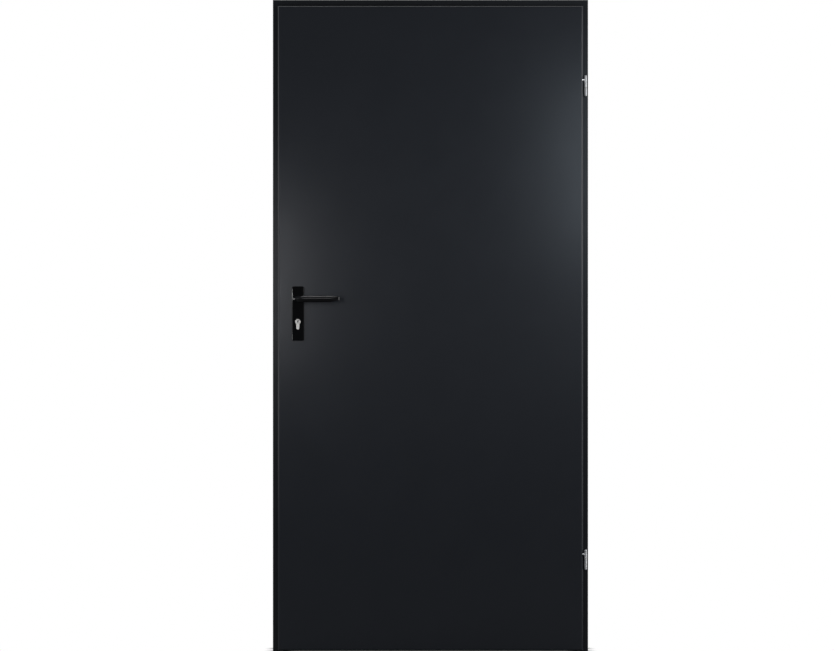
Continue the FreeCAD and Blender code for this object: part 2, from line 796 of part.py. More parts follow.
def bored_barrel(body, height, bored_from, bored_to):
    """Hinge barrel on its own axis, bored for the pin and closed at one end."""
    round_bar = new_sketch(body, "XY_Plane")
    draw_circle(round_bar, ("0", "0"), "size.barrel_across")
    add_feature(body, "Pad", round_bar, height)
    bore = new_sketch(body, "XY_Plane", bored_from)
    draw_circle(bore, ("0", "0"), "size.pin_across + 2 * size.pin_play")
    add_feature(body, "Pocket", bore, f"{bored_to} - ({bored_from})", True)


def make_hinge(hinge):
    """One hinge: a knuckle and pin on the frame, a ring, and a knuckle on the leaf.

    The frame's shank is welded to a plate behind the flange, the leaf's sits in a block in the lip.
    """
    foot = f"place.{hinge}_hinge_foot"
    lower = f"size.{hinge}_frame_knuckle"
    upper = f"size.{hinge}_leaf_knuckle"
    ring_foot = f"{foot} + {lower} + size.ring_play"
    leaf_foot = f"{ring_foot} + size.ring_height + size.ring_play"
    radius = "size.barrel_across / 2"

    knuckle = new_body(f"{hinge}_hinge_frame_knuckle")
    bored_barrel(knuckle, lower, "size.barrel_cap", lower)
    shank = new_sketch(knuckle, "XZ_Plane", f"{radius} - size.barrel_wall")
    draw_circle(shank, ("0", "size.frame_shank_rise"), "size.frame_shank")
    wall = "place.flange_y - place.hinge_y"
    add_feature(knuckle, "Pad", shank, f"{wall} - {radius} + size.barrel_wall + size.frame_sheet", True)
    put(knuckle, "place.hinge_x", "place.hinge_y", foot)

    pin = doc.addObject("Part::Cylinder", f"{hinge}_hinge_pin")
    pin.Label = f"{hinge}_hinge_pin"
    pieces.append(pin)
    pin.setExpression("Radius", "size.pin_across / 2")
    rise = f"{lower} + size.ring_height + 2 * size.ring_play + {upper} - 2 * size.barrel_cap - size.pin_play"
    pin.setExpression("Height", rise)
    put(pin, "place.hinge_x", "place.hinge_y", f"{foot} + size.barrel_cap")

    ring = new_body(f"{hinge}_hinge_ring")
    washer = new_sketch(ring, "XY_Plane")
    draw_circle(washer, ("0", "0"), "size.ring_across")
    draw_circle(washer, ("0", "0"), "size.pin_across + 2 * size.pin_play")
    add_feature(ring, "Pad", washer, "size.ring_height")
    put(ring, "place.hinge_x", "place.hinge_y", ring_foot)

    leaf_knuckle = new_body(f"{hinge}_hinge_leaf_knuckle")
    bored_barrel(leaf_knuckle, upper, "0", f"{upper} - size.barrel_cap")
    stem = new_sketch(leaf_knuckle, "YZ_Plane", f"-({radius} - size.barrel_wall)")
    draw_circle(stem, ("0", f"{upper} - size.leaf_shank_drop"), "size.leaf_shank")
    reach = f"place.hinge_x - {radius} + size.barrel_wall - place.notch_x + size.leaf_shank_reach"
    add_feature(leaf_knuckle, "Pad", stem, reach, True)
    put(leaf_knuckle, "place.hinge_x", "place.hinge_y", leaf_foot)

    middle = shank_height(hinge)
    block = new_body(f"{hinge}_hinge_block")
    section = new_sketch(block, "YZ_Plane", "place.notch_x")
    half = "size.block_height / 2"
    # The block stands clear of the rounding inside the lip
    draw_box(
        section,
        "place.leaf_front_y + size.leaf_round / 2",
        "place.lip_back_y - size.leaf_skin",
        f"{middle} - {half}",
        f"{middle} + {half}",
    )
    add_feature(block, "Pad", section, "size.leaf_shank_reach", True)
    bore = new_sketch(block, "YZ_Plane", "place.notch_x")
    draw_circle(bore, ("place.hinge_y", middle), "size.leaf_shank + 2 * size.shank_fit")
    cut_through(block, bore, "4 * size.leaf_shank_reach")

    backing = new_body(f"{hinge}_hinge_backing")
    height = f"{foot} + size.frame_shank_rise"
    plate = new_sketch(backing, "XZ_Plane", "place.flange_y + size.frame_sheet")
    half = "size.backing_height / 2"
    right = "-(size.frame_sheet + size.frame_bend)"
    draw_box(plate, f"{right} - size.backing_width", right, f"{height} - {half}", f"{height} + {half}")
    add_feature(backing, "Pad", plate, "size.backing_sheet", True)


def check_document():
    """Stop before anything is written if a feature failed or cut nothing."""
    doc.recompute()
    for item in doc.Objects:
        if {"Invalid", "Error"} & set(item.State):
            raise RuntimeError(f"{item.Label} failed: {item.State}")
        if item.TypeId == "PartDesign::Pocket" and item.Shape.Volume >= item.BaseFeature.Shape.Volume - NEAR:
            raise RuntimeError(f"{item.Label} cuts nothing")
    for piece in pieces:
        if piece.Shape.isNull() or not piece.Shape.isValid():
            raise RuntimeError(f"{piece.Label} has no valid shape")


make_frame()
make_seals()
make_strike_box()
make_front_skin()
make_back_skin()
make_lock()
make_cylinder()
make_plates()
make_handles()
for hinge_name in ("upper", "lower"):
    make_hinge(hinge_name)
check_document()

os.makedirs("parts", exist_ok=True)
for piece in pieces:
    piece.Shape.exportStep(f"parts/{piece.Label}.step")
print(len(pieces), "pieces written")
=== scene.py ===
import math

import bmesh
import bpy
from mathutils import Matrix, Vector


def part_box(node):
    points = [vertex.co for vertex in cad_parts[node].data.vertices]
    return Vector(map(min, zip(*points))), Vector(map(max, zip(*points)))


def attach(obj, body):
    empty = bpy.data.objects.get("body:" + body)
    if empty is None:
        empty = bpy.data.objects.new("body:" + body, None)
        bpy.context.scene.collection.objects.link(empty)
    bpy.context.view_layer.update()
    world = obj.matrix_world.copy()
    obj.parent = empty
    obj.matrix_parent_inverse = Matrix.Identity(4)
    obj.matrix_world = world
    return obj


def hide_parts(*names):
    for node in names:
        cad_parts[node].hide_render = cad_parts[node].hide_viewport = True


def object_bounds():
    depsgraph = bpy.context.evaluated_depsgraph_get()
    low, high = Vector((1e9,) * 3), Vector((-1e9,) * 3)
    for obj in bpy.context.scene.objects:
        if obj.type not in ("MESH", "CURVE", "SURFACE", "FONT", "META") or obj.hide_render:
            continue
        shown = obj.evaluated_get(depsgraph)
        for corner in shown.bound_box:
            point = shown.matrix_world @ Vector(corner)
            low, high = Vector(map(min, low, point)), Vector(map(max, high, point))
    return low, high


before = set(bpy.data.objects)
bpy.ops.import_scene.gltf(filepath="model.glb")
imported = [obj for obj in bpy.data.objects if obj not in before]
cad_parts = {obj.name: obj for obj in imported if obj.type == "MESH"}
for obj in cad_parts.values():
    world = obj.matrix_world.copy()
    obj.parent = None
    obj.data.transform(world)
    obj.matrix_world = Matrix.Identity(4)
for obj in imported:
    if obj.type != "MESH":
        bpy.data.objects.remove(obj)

CAD_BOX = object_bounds()
MM = 0.001

# The picture: its size, where the door's frame stands in it and how far off the eye is
IMAGE_WIDTH = 835
IMAGE_HEIGHT = 651
DOOR_LEFT_PIXEL = 272.85
DOOR_RIGHT_PIXEL = 588.1
LOWEST_SEEN = 1.2 * MM
CAMERA_DISTANCE = 7.5
CAMERA_REACH = 100
SENSOR = 36.0

# Axes of the levers and of the lock cylinder's plugs, from the solids
LEVER_AXIS = sum(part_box("spindle"), Vector()) / 2
PLUG_AXIS = sum(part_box("front_cylinder_plug"), Vector()) / 2

# Faces of the door, and which way along Y each looks
FACES = (("front", -1), ("back", 1))
# Turn that lays an upright axis along the door, towards its lock side
TO_LOCK_SIDE = Matrix.Rotation(math.radians(-90), 3, "Y")

# How many straight steps stand for each round
TURN_STEPS = 72
CORNER_STEPS = 6
RIM_STEPS = 4
EDGE_STEPS = 8
ELBOW_STEPS = 24
TIP_STEPS = 20
TIP_END_STEPS = 10
CYLINDER_STEPS = 48
SCREW_STEPS = 48
BARREL_STEPS = 5
SHANK_STEPS = 40
SHANK_END_STEPS = 3
FLOOR_STEPS = 96

# Meshes: the gap at which points merge, the degrees from which edges stay crisp, the weight of large faces
SAME_POINT = 0.001 * MM
CRISP_ANGLE = 32
LARGE_FACE_WEIGHT = 100

# Lever: its collar, its bevelled section and its path
COLLAR_RADIUS = 10 * MM
COLLAR_LENGTH = 3 * MM
COLLAR_BURIED = 5 * MM
COLLAR_OVERLAP = 0.4 * MM
COLLAR_FOOT_ROUND = 0.3 * MM
COLLAR_END_ROUND = 0.5 * MM
GRIP_HEIGHT = 21.5 * MM
GRIP_DEPTH = 22 * MM
GRIP_TOP_DROP = 1.2 * MM
GRIP_BEVEL = 9.5 * MM
GRIP_SLOPE = 8 * MM
GRIP_BACK_BEVEL = 5 * MM
GRIP_ROUND = 2.5 * MM
SHOULDER_ROUND = 6 * MM
NECK_LENGTH = 26 * MM
ELBOW_FULLER = 4 * MM
ELBOW_INSIDE = 8 * MM
TIP_LENGTH = 30 * MM
TIP_RETURN = 9 * MM
TIP_RISE = 6 * MM
TIP_SINK = 4.5 * MM
TIP_SINK_LENGTH = 14 * MM
TIP_ROUND = 4.5 * MM
THINNEST_SLOPE = 0.4 * MM
# Rounded root of the neck: how far past the collar, and its share of the whole section there
NECK_ROOT = ((0, 0.90), (0.4 * MM, 0.97), (1.2 * MM, 1.0))

# Handle plates
PLATE_CORNER = 5 * MM
PLATE_EDGE = 3 * MM
SMALLEST_CORNER = 0.4 * MM
COLLAR_ROOM = 0.3 * MM
CYLINDER_ROOM = 0.35 * MM
PLATE_CUT_PAST = 5 * MM

# Profile cylinder
CYLINDER_HEAD = 17 * MM
CYLINDER_STEM = 10 * MM
CYLINDER_RIM = 0.5 * MM
CYLINDER_MIDDLE_DROP = 6 * MM
PLUG_RADIUS = 6.25 * MM
PLUG_ROOM = 0.3 * MM
PLUG_RIM = 0.7 * MM
PLUG_FOOT_ROUND = 0.2 * MM
BORE_PAST = 1 * MM
KEY_DEPTH = 14 * MM
KEYWAY_RISE = 0.9 * MM
# Keyway: one side from its top down and the other from its foot up, in mm across and up from its middle
KEYWAY = [
    (-1.8, 4.4), (-1.8, 1.2), (-2.6, 0.3), (-2.6, -1.7), (-1.6, -2.4), (-1.6, -4.3),
    (1.4, -4.3), (1.4, -2.9), (0.8, -2.4), (0.8, -0.6), (2.5, 0.6), (2.5, 4.4),
]

# Hinges
HINGE_PARTS = ("frame_knuckle", "ring", "leaf_knuckle")
BARREL_RADIUS = 4.6 * MM
BARREL_BORE = 2.6 * MM
BARREL_CAP = 4 * MM
BARREL_ROUND = 3 * MM
BARREL_LIP = 0.5 * MM
BORE_ROUND = 0.3 * MM
CAP_SEAM = 0.5 * MM
SEAM_ROUND = 0.05 * MM
SHANK_RADIUS = 3 * MM
SHANK_RISE = 12 * MM
SHANK_DROP = 15 * MM
SHANK_ROOT = 1.6 * MM
SHANK_ROUND = 0.3 * MM
RING_ROUND = 0.6 * MM
RING_BORE_ROUND = 0.1 * MM

# Screws: a domed head over a countersunk root, with a tapered cross recess
SCREW_RADIUS = 4.5 * MM
SCREW_DOME = 0.7 * MM
SCREW_BRIM = 0.1 * MM
SCREW_ROOT = 1.5 * MM
SCREW_TAPER = 1.4 * MM
SCREW_SEAT = 0.1 * MM
SLOT_WIDTH = 1.1 * MM
SLOT_LENGTH = 4.95 * MM
SLOT_DEPTH = 0.9 * MM
SLOT_CUT_PAST = 1.5 * MM
SLOT_FLOOR_SHARE = 0.6
PLATE_SCREW_INSET = 14 * MM
FOREND_SCREW_INSET = 11 * MM

# Powder coat: features a metre of its patterns, how bright its specks are and how deep its orange peel
PAINT_MOTTLE = 5
PAINT_SPECKS = 900
PAINT_GLOSS = 14
PAINT_PEEL = 420
PAINT_PEEL_DEPTH = 0.015 * MM
SPECK_BRIGHTER = 1.6
SPECK_MOST = 0.25

# Plated metal: features a metre of its patterns and how deep they are
METAL_GLOSS = 700
METAL_LINES = 2500
METAL_LINE_DEPTH = 0.01 * MM
METAL_PITS = 900
METAL_PIT_DEPTH = 0.006 * MM
TURNED_STRETCH = (0.02, 0.02, 1)
BRUSHED_STRETCH = (1, 1, 0.015)
LATHE_PITCH = 0.35 * MM

# Moulded plastic: features a metre of its patterns
PLASTIC_PATCHES = 70
PLASTIC_GLOSS = 160
PLASTIC_GRAIN = 2600

# How far the roughness of a finish strays to each side
EVEN_GLOSS = 0.02
UNEVEN_GLOSS = 0.06

# Painted shade in the keyway, by depth from the face of its plug
PAINTED_KEYWAY_SHADE = (0.02, 0.02, 0.02)
PAINTED_SHADE_STARTS = 0.1 * MM
PAINTED_SHADE_DEEPEST = 1.2 * MM

# Surroundings: what the shine sees, what the eye sees, and the floor
DIM_SKY = (0.90, 0.95, 1.0)
DIM_STRENGTH = 0.165
WHITE = (1, 1, 1)
FLOOR_RADIUS = 8.0
FLOOR_DROP = 0.5 * MM
FLOOR_GREY = (0.30, 0.30, 0.30)
CONTACT_REACH = 30 * MM
CONTACT_DEEPER = 2.0

# Tints of the lights that glow in the leaf
COOL_LEFT = (0.95, 0.96, 1.0)
COOL_RIGHT = (0.77, 0.89, 1.0)


def shader_node(material, kind, **settings):
    """New shader node with its properties set."""
    node = material.node_tree.nodes.new(kind)
    for key, setting in settings.items():
        setattr(node, key, setting)
    return node


def wire(material, source, target):
    """Join an output to an input."""
    material.node_tree.links.new(source, target)


def new_material(name, metallic, specular=0.5):
    """Material with one principled shader, and that shader."""
    material = bpy.data.materials.new(name)
    material.use_nodes = True
    shader = material.node_tree.nodes["Principled BSDF"]
    shader.inputs["Metallic"].default_value = metallic
    shader.inputs["Specular IOR Level"].default_value = specular
    return material, shader


def coordinates(material, scale=(1, 1, 1), shift=(0, 0, 0)):
    """Coordinates in metres that move with the piece, shifted and then scaled by axis."""
    place = shader_node(material, "ShaderNodeTexCoord")
    moved = shader_node(material, "ShaderNodeVectorMath", operation="SUBTRACT")
    wire(material, place.outputs["Object"], moved.inputs[0])
    moved.inputs[1].default_value = shift
    scaled = shader_node(material, "ShaderNodeVectorMath", operation="MULTIPLY")
    wire(material, moved.outputs[0], scaled.inputs[0])
    scaled.inputs[1].default_value = scale
    return scaled.outputs[0]


def noise(material, scale, detail=2.0, stretch=(1, 1, 1)):
    """Noise with about `scale` features a metre, as a value from 0 to 1."""
    texture = shader_node(material, "ShaderNodeTexNoise")
    texture.inputs["Scale"].default_value = scale
    texture.inputs["Detail"].default_value = detail
    wire(material, coordinates(material, stretch), texture.inputs["Vector"])
    return texture.outputs["Fac"]


def facing_rings(material, axis, pitch):
    """Fine rings that a lathe leaves on a face square to Y, round an axis."""
    spokes = coordinates(material, (1, 0, 1), tuple(axis))
    radius = shader_node(material, "ShaderNodeVectorMath", operation="LENGTH")
    wire(material, spokes, radius.inputs[0])
    turned = shader_node(material, "ShaderNodeMath", operation="MULTIPLY")
    wire(material, radius.outputs["Value"], turned.inputs[0])
    turned.inputs[1].default_value = 2 * math.pi / pitch
    wave = shader_node(material, "ShaderNodeMath", operation="SINE")
    wire(material, turned.outputs[0], wave.inputs[0])
    return wave.outputs[0]


def spread(material, source, low, high, start=0.3, end=0.7):
    """Stretch a value from start..end to low..high."""
    node = shader_node(material, "ShaderNodeMapRange")
    wire(material, source, node.inputs["Value"])
    for key, number in (("From Min", start), ("From Max", end), ("To Min", low), ("To Max", high)):
        node.inputs[key].default_value = number
    return node.outputs["Result"]


def blend(material, factor, first, second):
    """Mix two colours by a value."""
    node = shader_node(material, "ShaderNodeMix", data_type="RGBA")
    wire(material, factor, node.inputs["Factor"])
    for socket, colour in ((node.inputs["A"], first), (node.inputs["B"], second)):
        if hasattr(colour, "links"):
            wire(material, colour, socket)
        else:
            socket.default_value = (*colour, 1)
    return node.outputs["Result"]


def add_roughness(material, shader, pattern, roughness, stray):
    """Roughness that strays to both sides of a value, by a pattern."""
    patches = spread(material, pattern, roughness - stray, roughness + stray)
    wire(material, patches, shader.inputs["Roughness"])


def add_bump(material, shader, layers):
    """Bumps from pairs of a height value and its depth in metres, one on the other."""
    normal = None
    for height, depth in layers:
        node = shader_node(material, "ShaderNodeBump")
        node.inputs["Strength"].default_value = 1.0
        node.inputs["Distance"].default_value = depth
        wire(material, height, node.inputs["Height"])
        if normal is not None:
            wire(material, normal, node.inputs["Normal"])
        normal = node.outputs["Normal"]
    wire(material, normal, shader.inputs["Normal"])


def powder_coat(name, colour, lighter, roughness, specular):
    """Satin powder coat: fine orange peel, faint mottling and sparse specks."""
    material, shader = new_material(name, metallic=0.0, specular=specular)
    mottle = spread(material, noise(material, PAINT_MOTTLE, detail=3), 0, 1)
    specks = spread(material, noise(material, PAINT_SPECKS, detail=1), 0, SPECK_MOST, start=0.45, end=0.8)
    base = blend(material, mottle, colour, lighter)
    speckled = blend(material, specks, base, tuple(SPECK_BRIGHTER * part for part in lighter))
    wire(material, speckled, shader.inputs["Base Color"])
    add_roughness(material, shader, noise(material, PAINT_GLOSS, detail=3), roughness, EVEN_GLOSS)
    add_bump(material, shader, [(noise(material, PAINT_PEEL), PAINT_PEEL_DEPTH)])
    return material


def keyway_painted_shade(material, base):
    """Painted shade: darken a metal inside the lock cylinder, away from its two ends, where the keyway lies
    in shade.
    """
    low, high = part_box("front_cylinder_plug")[0].y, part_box("back_cylinder_plug")[1].y
    along = shader_node(material, "ShaderNodeSeparateXYZ")
    wire(material, coordinates(material, shift=(0, (low + high) / 2, 0)), along.inputs[0])
    depth = shader_node(material, "ShaderNodeMath", operation="ABSOLUTE")
    wire(material, along.outputs["Y"], depth.inputs[0])
    end = (high - low) / 2
    painted_shade_mask = spread(material, depth.outputs[0], 1, 0, end - PAINTED_SHADE_DEEPEST, end - PAINTED_SHADE_STARTS)
    return blend(material, painted_shade_mask, base, PAINTED_KEYWAY_SHADE)


def plated_metal(name, colour, darker, roughness, cloud, lines, shade=None):
    """Plated metal: clouded crystals, and lines that turning or brushing left, given as a height."""
    material, shader = new_material(name, metallic=1.0)
    crystals = shader_node(material, "ShaderNodeTexVoronoi")
    crystals.inputs["Scale"].default_value = cloud
    wire(material, coordinates(material), crystals.inputs["Vector"])
    base = blend(material, crystals.outputs["Color"], darker, colour)
    wire(material, shade(material, base) if shade else base, shader.inputs["Base Color"])
    add_roughness(material, shader, noise(material, METAL_GLOSS, detail=3), roughness, UNEVEN_GLOSS)
    pits = noise(material, METAL_PITS)
    add_bump(material, shader, [(lines(material), METAL_LINE_DEPTH), (pits, METAL_PIT_DEPTH)])
    return material


def turned_lines(material):
    """Lines round an upright axis."""
    return noise(material, METAL_LINES, stretch=TURNED_STRETCH)


def brushed_lines(material):
    """Lines along the height."""
    return noise(material, METAL_LINES, stretch=BRUSHED_STRETCH)


def plug_rings(material):
    """Lathe rings round the lock cylinder."""
    return facing_rings(material, PLUG_AXIS, LATHE_PITCH)


def moulded_plastic(name, colour, lighter, roughness, specular, texture):
    """Moulded plastic with a fine spark-eroded texture of a given depth."""
    material, shader = new_material(name, metallic=0.0, specular=specular)
    patches = spread(material, noise(material, PLASTIC_PATCHES, detail=3), 0, 1)
    wire(material, blend(material, patches, colour, lighter), shader.inputs["Base Color"])
    add_roughness(material, shader, noise(material, PLASTIC_GLOSS), roughness, EVEN_GLOSS)
    add_bump(material, shader, [(noise(material, PLASTIC_GRAIN), texture)])
    return material


# What makes the finish of each of the record's material slots, and its settings
FINISHES = {
    # Painted shade: the frame's coat is a darker copy of the leaf's coat, so the frame's strips look darker
    # than the leaf
    "frame_paint": (powder_coat, dict(
        colour=(0.0095, 0.0106, 0.0134), lighter=(0.0110, 0.0123, 0.0153), roughness=0.36, specular=0.33,
    )),
    "leaf_paint": (powder_coat, dict(
        colour=(0.0150, 0.0172, 0.0226), lighter=(0.0162, 0.0185, 0.0242), roughness=0.30, specular=0.42,
    )),
    "seal_rubber": (moulded_plastic, dict(
        colour=(0.010, 0.010, 0.010), lighter=(0.016, 0.016, 0.016), roughness=0.72, specular=0.4,
        texture=0.008 * MM,
    )),
    "strike_plastic": (moulded_plastic, dict(
        colour=(0.020, 0.020, 0.021), lighter=(0.030, 0.030, 0.031), roughness=0.55, specular=0.5,
        texture=0.008 * MM,
    )),
    "hinge_zinc": (plated_metal, dict(
        colour=(0.66, 0.67, 0.68), darker=(0.54, 0.55, 0.57), roughness=0.34, cloud=260, lines=turned_lines,
    )),
    "hinge_ring": (plated_metal, dict(
        colour=(0.78, 0.76, 0.72), darker=(0.70, 0.68, 0.64), roughness=0.22, cloud=400, lines=turned_lines,
    )),
    "plain_steel": (plated_metal, dict(
        colour=(0.55, 0.56, 0.57), darker=(0.38, 0.39, 0.41), roughness=0.42, cloud=180, lines=brushed_lines,
    )),
    "lock_steel": (plated_metal, dict(
        colour=(0.62, 0.62, 0.62), darker=(0.54, 0.54, 0.54), roughness=0.32, cloud=320, lines=brushed_lines,
    )),
    "cylinder_nickel": (plated_metal, dict(
        colour=(0.74, 0.72, 0.69), darker=(0.68, 0.66, 0.63), roughness=0.45, cloud=500, lines=plug_rings,
        # The inside of the lock cylinder, deeper than its ends, is darkened with painted shade
        shade=keyway_painted_shade,
    )),
    "handle_plastic": (moulded_plastic, dict(
        colour=(0.0020, 0.0020, 0.0023), lighter=(0.0030, 0.0030, 0.0034), roughness=0.085, specular=0.16,
        texture=0.0008 * MM,
    )),
}
MATERIALS = {slot: finish(slot, **settings) for slot, (finish, settings) in FINISHES.items()}

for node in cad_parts.values():
    for holder in node.material_slots:
        holder.material = MATERIALS[holder.material.name.split(".")[0]]


def rounded(points, radii, steps=CORNER_STEPS):
    """Flat outline whose corners are turned into arcs, each with as many points."""
    outline = []
    for number, (point, radius) in enumerate(zip(points, radii)):
        corner = Vector(point)
        back = (Vector(points[number - 1]) - corner).normalized()
        on = (Vector(points[(number + 1) % len(points)]) - corner).normalized()
        half = back.angle(on) / 2
        centre = corner + (back + on).normalized() * radius / math.sin(half)
        first = corner + back * radius / math.tan(half) - centre
        last = corner + on * radius / math.tan(half) - centre
        start = math.atan2(first.y, first.x)
        sweep = math.atan2(first.cross(last), first.dot(last))
        for step in range(steps + 1):
            angle = start + sweep * step / steps
            outline.append(centre + radius * Vector((math.cos(angle), math.sin(angle))))
    return outline


def quarter_turn(steps):
    """Angles from 0 to 90 degrees, in radians."""
    return [math.pi / 2 * step / steps for step in range(steps + 1)]


def along_y(outward):
    """Turn that lays an upright axis along Y, to the back or, with -1, to the front."""
    return Matrix.Rotation(math.radians(-90 * outward), 3, "X")


def outer_face(box, outward):
    """Y of the face of a box that looks to the back or, with -1, to the front."""
    low, high = box
    return low.y if outward < 0 else high.y


def skin(shape, rings, round_row=False):
    """Faces between rings of matching points, with flat ends or with the row of rings closed."""
    loops = [[shape.verts.new(point) for point in ring] for ring in rings]
    pairs = list(zip(loops, loops[1:]))
    if round_row:
        pairs.append((loops[-1], loops[0]))
    for low, high in pairs:
        for number in range(len(low)):
            after = (number + 1) % len(low)
            shape.faces.new((low[number], low[after], high[after], high[number]))
    if not round_row:
        shape.faces.new(loops[0][::-1])
        shape.faces.new(loops[-1])


def lathe(shape, outline, centre, turn=Matrix.Identity(3), steps=TURN_STEPS):
    """Turned form from a closed outline of radius and height, with its axis turned from +Z."""
    rings = []
    for step in range(steps):
        angle = 2 * math.pi * step / steps
        spoke = Vector((math.cos(angle), math.sin(angle), 0))
        ring = [spoke * radius + Vector((0, 0, height)) for radius, height in outline]
        rings.append([centre + turn @ point for point in ring])
    skin(shape, rings, round_row=True)


def new_object(name, shape):
    """Object from a finished shape, with doubled points merged and all faces turned outwards."""
    bmesh.ops.remove_doubles(shape, verts=shape.verts, dist=SAME_POINT)
    bmesh.ops.dissolve_degenerate(shape, edges=shape.edges, dist=SAME_POINT)
    bmesh.ops.recalc_face_normals(shape, faces=shape.faces)
    mesh = bpy.data.meshes.new(name)
    shape.to_mesh(mesh)
    shape.free()
    holder = bpy.data.objects.new(name, mesh)
    bpy.context.scene.collection.objects.link(holder)
    return holder


def bake(piece, modifier):
    """Replace the mesh of a piece by what a modifier makes of it."""
    bpy.context.view_layer.update()
    changed = piece.evaluated_get(bpy.context.evaluated_depsgraph_get())
    done = bpy.data.meshes.new_from_object(changed)
    piece.modifiers.remove(modifier)
    done.name = piece.name
    piece.data = done


def carve(piece, cutter):
    """Cut one object out of another."""
    cut = piece.modifiers.new("cut", "BOOLEAN")
    cut.object = cutter
    cut.operation = "DIFFERENCE"
    cut.solver = "EXACT"
    bake(piece, cut)
    bpy.data.objects.remove(cutter)


def dress(piece, body, slot, replaced=()):
    """Smooth a piece and give it its finish, its body and the nodes that it stands for."""
    piece.data.materials.clear()
    piece.data.materials.append(MATERIALS[slot])
    piece.data.shade_smooth()
    piece.data.set_sharp_from_angle(angle=math.radians(CRISP_ANGLE))
    even = piece.modifiers.new("even", "WEIGHTED_NORMAL")
    even.weight = LARGE_FACE_WEIGHT
    even.keep_sharp = True
    bake(piece, even)
    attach(piece, body)
    if replaced:
        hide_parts(*replaced)


def grip_ring(turned_in=0.0, risen=0.0, sunk=0.0):
    """Bevelled section of the grip with its edges rounded: pairs of reach and height.

    Towards the tip the face is cut away by a depth, the foot rises and the top sinks.
    """
    inner = -GRIP_DEPTH / 2
    outer = GRIP_DEPTH / 2 - turned_in
    lowered = GRIP_TOP_DROP + sunk
    top = GRIP_HEIGHT / 2 - lowered
    foot = risen - GRIP_HEIGHT / 2
    steepness = GRIP_BEVEL / GRIP_SLOPE
    upper = max(GRIP_SLOPE - turned_in - lowered / steepness, THINNEST_SLOPE)
    lower = max(GRIP_SLOPE - turned_in - risen / steepness, THINNEST_SLOPE)
    points = [
        (outer, top - upper * steepness),
        (outer - upper, top),
        (inner + GRIP_BACK_BEVEL, top),
        (inner, top - GRIP_BACK_BEVEL),
        (inner, foot + GRIP_BACK_BEVEL),
        (inner + GRIP_BACK_BEVEL, foot),
        (outer - lower, foot),
        (outer, foot + lower * steepness),
    ]
    ridge_above, ridge_below = (min(GRIP_ROUND, slope) for slope in (upper, lower))
    above, below = (min(SHOULDER_ROUND, slope) for slope in (upper, lower))
    return rounded(points, [ridge_above, above, *[GRIP_ROUND] * 4, below, ridge_below])


def swollen(section, share):
    """Section of the lever with its outer half stretched by a share."""
    return [(reach * (1 + share) if reach > 0 else reach, height) for reach, height in section]


def neck_rings(section, fuller):
    """Rings of the neck's rounded root on its collar."""
    rings = []
    for past, scale in NECK_ROOT:
        out = COLLAR_LENGTH + past
        ring = swollen(section, fuller)
        rings.append([Vector((-reach * scale, out, height * scale)) for reach, height in ring])
    return rings


def elbow_rings(section, fuller, radius):
    """Rings round the elbow, which is fullest at the neck."""
    middle = Vector((radius, NECK_LENGTH, 0))
    rings = []
    for angle in quarter_turn(ELBOW_STEPS):
        spoke = Vector((-math.cos(angle), math.sin(angle), 0))
        ring = swollen(section, fuller * math.cos(angle) ** 2)
        rings.append([middle + spoke * (radius + reach) + Vector((0, 0, height)) for reach, height in ring])
    return rings


def tip_rings(length, out):
    """Rings from the grip to its rounded end, cut away by two slants and sunk at the tip."""
    start = length - TIP_LENGTH
    rings = []
    for step in range(TIP_STEPS + 1):
        share = step / TIP_STEPS
        near = share * (TIP_LENGTH - TIP_ROUND)
        cut = near / TIP_LENGTH
        sinking = max(near - TIP_LENGTH + TIP_SINK_LENGTH, 0) / TIP_SINK_LENGTH
        ring = grip_ring(TIP_RETURN * cut, TIP_RISE * cut, TIP_SINK * sinking ** 2)
        rings.append([Vector((start + near, out + reach, height)) for reach, height in ring])
    return rings


def end_rings(last):
    """Rings of the rounded end, drawn in from the last ring of the tip."""
    low, high = (Vector([side(point[axis] for point in last) for axis in range(3)]) for side in (min, max))
    middle = (low + high) / 2
    half = (high - low) / 2
    rings = []
    for angle in quarter_turn(TIP_END_STEPS)[1:]:
        ahead = TIP_ROUND * math.sin(angle)
        pull = TIP_ROUND * (1 - math.cos(angle))
        ring = []
        for point in last:
            spoke = point - middle
            reach = spoke.y * (1 - pull / half.y)
            height = spoke.z * (1 - pull / half.z)
            ring.append(middle + Vector((ahead, reach, height)))
        rings.append(ring)
    return rings


def lever_rings(length):
    """Rings along the lever about its own axis: x along the grip, y out from the plate, z up."""
    radius = GRIP_DEPTH / 2 + ELBOW_INSIDE
    fuller = ELBOW_FULLER / (GRIP_DEPTH / 2)
    section = grip_ring()
    rings = neck_rings(section, fuller)
    rings += elbow_rings(section, fuller, radius)
    rings += tip_rings(length, NECK_LENGTH + radius)
    return rings + end_rings(rings[-1])


def make_lever(side, outward):
    """Lever with a round collar that turns in its plate, a bent neck and a grip with a drawn-in tip."""
    name = f"{side}_lever"
    face = outer_face(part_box(f"{side}_handle_plate"), outward)
    place = Vector((LEVER_AXIS.x, face, LEVER_AXIS.z))
    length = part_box(name)[1].x - LEVER_AXIS.x
    rings = []
    for ring in lever_rings(length):
        rings.append([place + Vector((point.x, outward * point.y, point.z)) for point in ring])
    shape = bmesh.new()
    skin(shape, rings)
    end = COLLAR_LENGTH + COLLAR_OVERLAP
    collar = rounded(
        [(0, -COLLAR_BURIED), (COLLAR_RADIUS, -COLLAR_BURIED), (COLLAR_RADIUS, end), (0, end)],
        [0, COLLAR_FOOT_ROUND, COLLAR_END_ROUND, 0], RIM_STEPS,
    )
    lathe(shape, collar, place, along_y(outward))
    dress(new_object(name + "_grip", shape), "lever_set", "handle_plastic", (name,))


